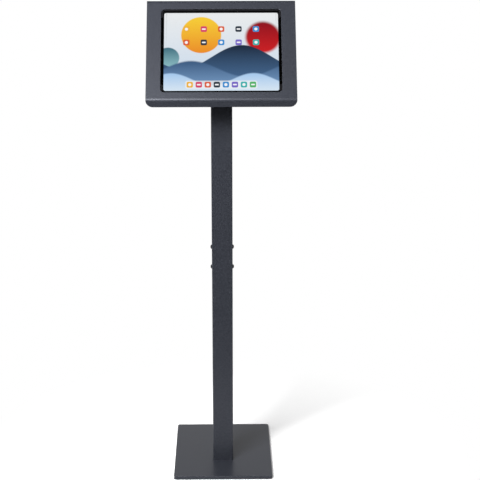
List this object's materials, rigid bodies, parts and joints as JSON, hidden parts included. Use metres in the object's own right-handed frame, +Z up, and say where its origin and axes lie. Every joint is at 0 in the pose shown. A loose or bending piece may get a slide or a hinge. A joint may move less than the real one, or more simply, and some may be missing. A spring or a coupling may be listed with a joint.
{
  "type": "tablet security kiosk stand",
  "caption": "Floor-standing kiosk: flat rectangular base, slim two-part square mast and a tilted, locking sheet-steel head round a landscape tablet.",
  "frame": {"origin": "on the floor, under the middle of the base plate", "axes": "+Z up along the mast, -Y towards the person who stands in front, +X to that person's right"},
  "size_m": [0.3432, 0.306, 1.1449],
  "materials": {
    "powder_coat": "fine-textured powder coat, satin",
    "rubber_pad": "moulded, matt",
    "hold_pad": "moulded, matt",
    "zinc_steel": "zinc plated",
    "black_screw": "black oxide, satin",
    "cradle_plastic": "moulded, fine grain",
    "tablet_metal": "bead blasted and anodised",
    "cover_glass": "polished",
    "screen_black": "black print behind glass",
    "screen_lit": "lit display",
    "battery_foil": "laminate pouch",
    "circuit_board": "solder mask",
    "socket_steel": "drawn",
    "lens_glass": "polished",
    "lock_chrome": "plated, satin"
  },
  "bodies": {
    "root": {"base_plate": "powder_coat", "floor_pad_front_left": "rubber_pad", "floor_pad_front_right": "rubber_pad", "floor_pad_rear_left": "rubber_pad", "floor_pad_rear_right": "rubber_pad", "foot_block": "zinc_steel", "base_screws": "black_screw", "mast_lower": "powder_coat", "mast_upper": "powder_coat", "joint_sleeve": "zinc_steel", "joint_screws": "black_screw", "sleeve_nuts": "zinc_steel", "cable_grommet": "rubber_pad", "head_plate": "powder_coat", "back_tray": "powder_coat", "neck_grommet": "rubber_pad", "head_washers": "zinc_steel", "head_screws": "black_screw", "cradle_left_top": "cradle_plastic", "cradle_right_top": "cradle_plastic", "cradle_left_low": "cradle_plastic", "cradle_right_low": "cradle_plastic", "cradle_screws": "black_screw", "tablet_body": "tablet_metal", "tablet_glass": "cover_glass", "screen_mask": "screen_black", "tablet_screen": "screen_lit", "tablet_battery": "battery_foil", "tablet_board": "circuit_board", "charge_socket": "socket_steel", "camera_bump": "tablet_metal", "camera_lenses": "lens_glass", "tray_leaf": "zinc_steel", "hinge_pin": "zinc_steel", "hinge_rivets": "zinc_steel", "lock_barrel": "lock_chrome", "lock_nut": "zinc_steel"},
    "cover": {"front_cover": "powder_coat", "cover_leaf": "zinc_steel", "strike": "zinc_steel", "hold_pad_left_top": "hold_pad", "hold_pad_right_top": "hold_pad", "hold_pad_left_low": "hold_pad", "hold_pad_right_low": "hold_pad", "hold_strip": "hold_pad"},
    "lock": {"lock_plug": "lock_chrome", "lock_cam": "zinc_steel", "cam_screw": "zinc_steel"},
    "power_key": {"power_button": "tablet_metal"},
    "volume_up_key": {"volume_up_button": "tablet_metal"},
    "volume_down_key": {"volume_down_button": "tablet_metal"}
  },
  "joints": [
    {"name": "cover_hinge", "type": "hinge", "parent": "root", "child": "cover", "pos_m": [0, 0.02397, 1.12744], "axis": [-1, 0, 0], "range_deg": [0, 100]},
    {"name": "lock_turn", "type": "hinge", "parent": "root", "child": "lock", "pos_m": [0.15505, -0.08046, 0.98117], "axis": [0, -0.8231, 0.5678], "range_deg": [0, 90]},
    {"name": "power_press", "type": "slide", "parent": "root", "child": "power_key", "axis": [-1, 0, 0], "range_m": [0, 0.0003], "stiffness_N_per_m": 500, "springref_m": -0.0005},
    {"name": "volume_up_press", "type": "slide", "parent": "root", "child": "volume_up_key", "axis": [0, -0.5678, -0.8231], "range_m": [0, 0.0003], "stiffness_N_per_m": 500, "springref_m": -0.0005},
    {"name": "volume_down_press", "type": "slide", "parent": "root", "child": "volume_down_key", "axis": [0, -0.5678, -0.8231], "range_m": [0, 0.0003], "stiffness_N_per_m": 500, "springref_m": -0.0005}
  ]
}
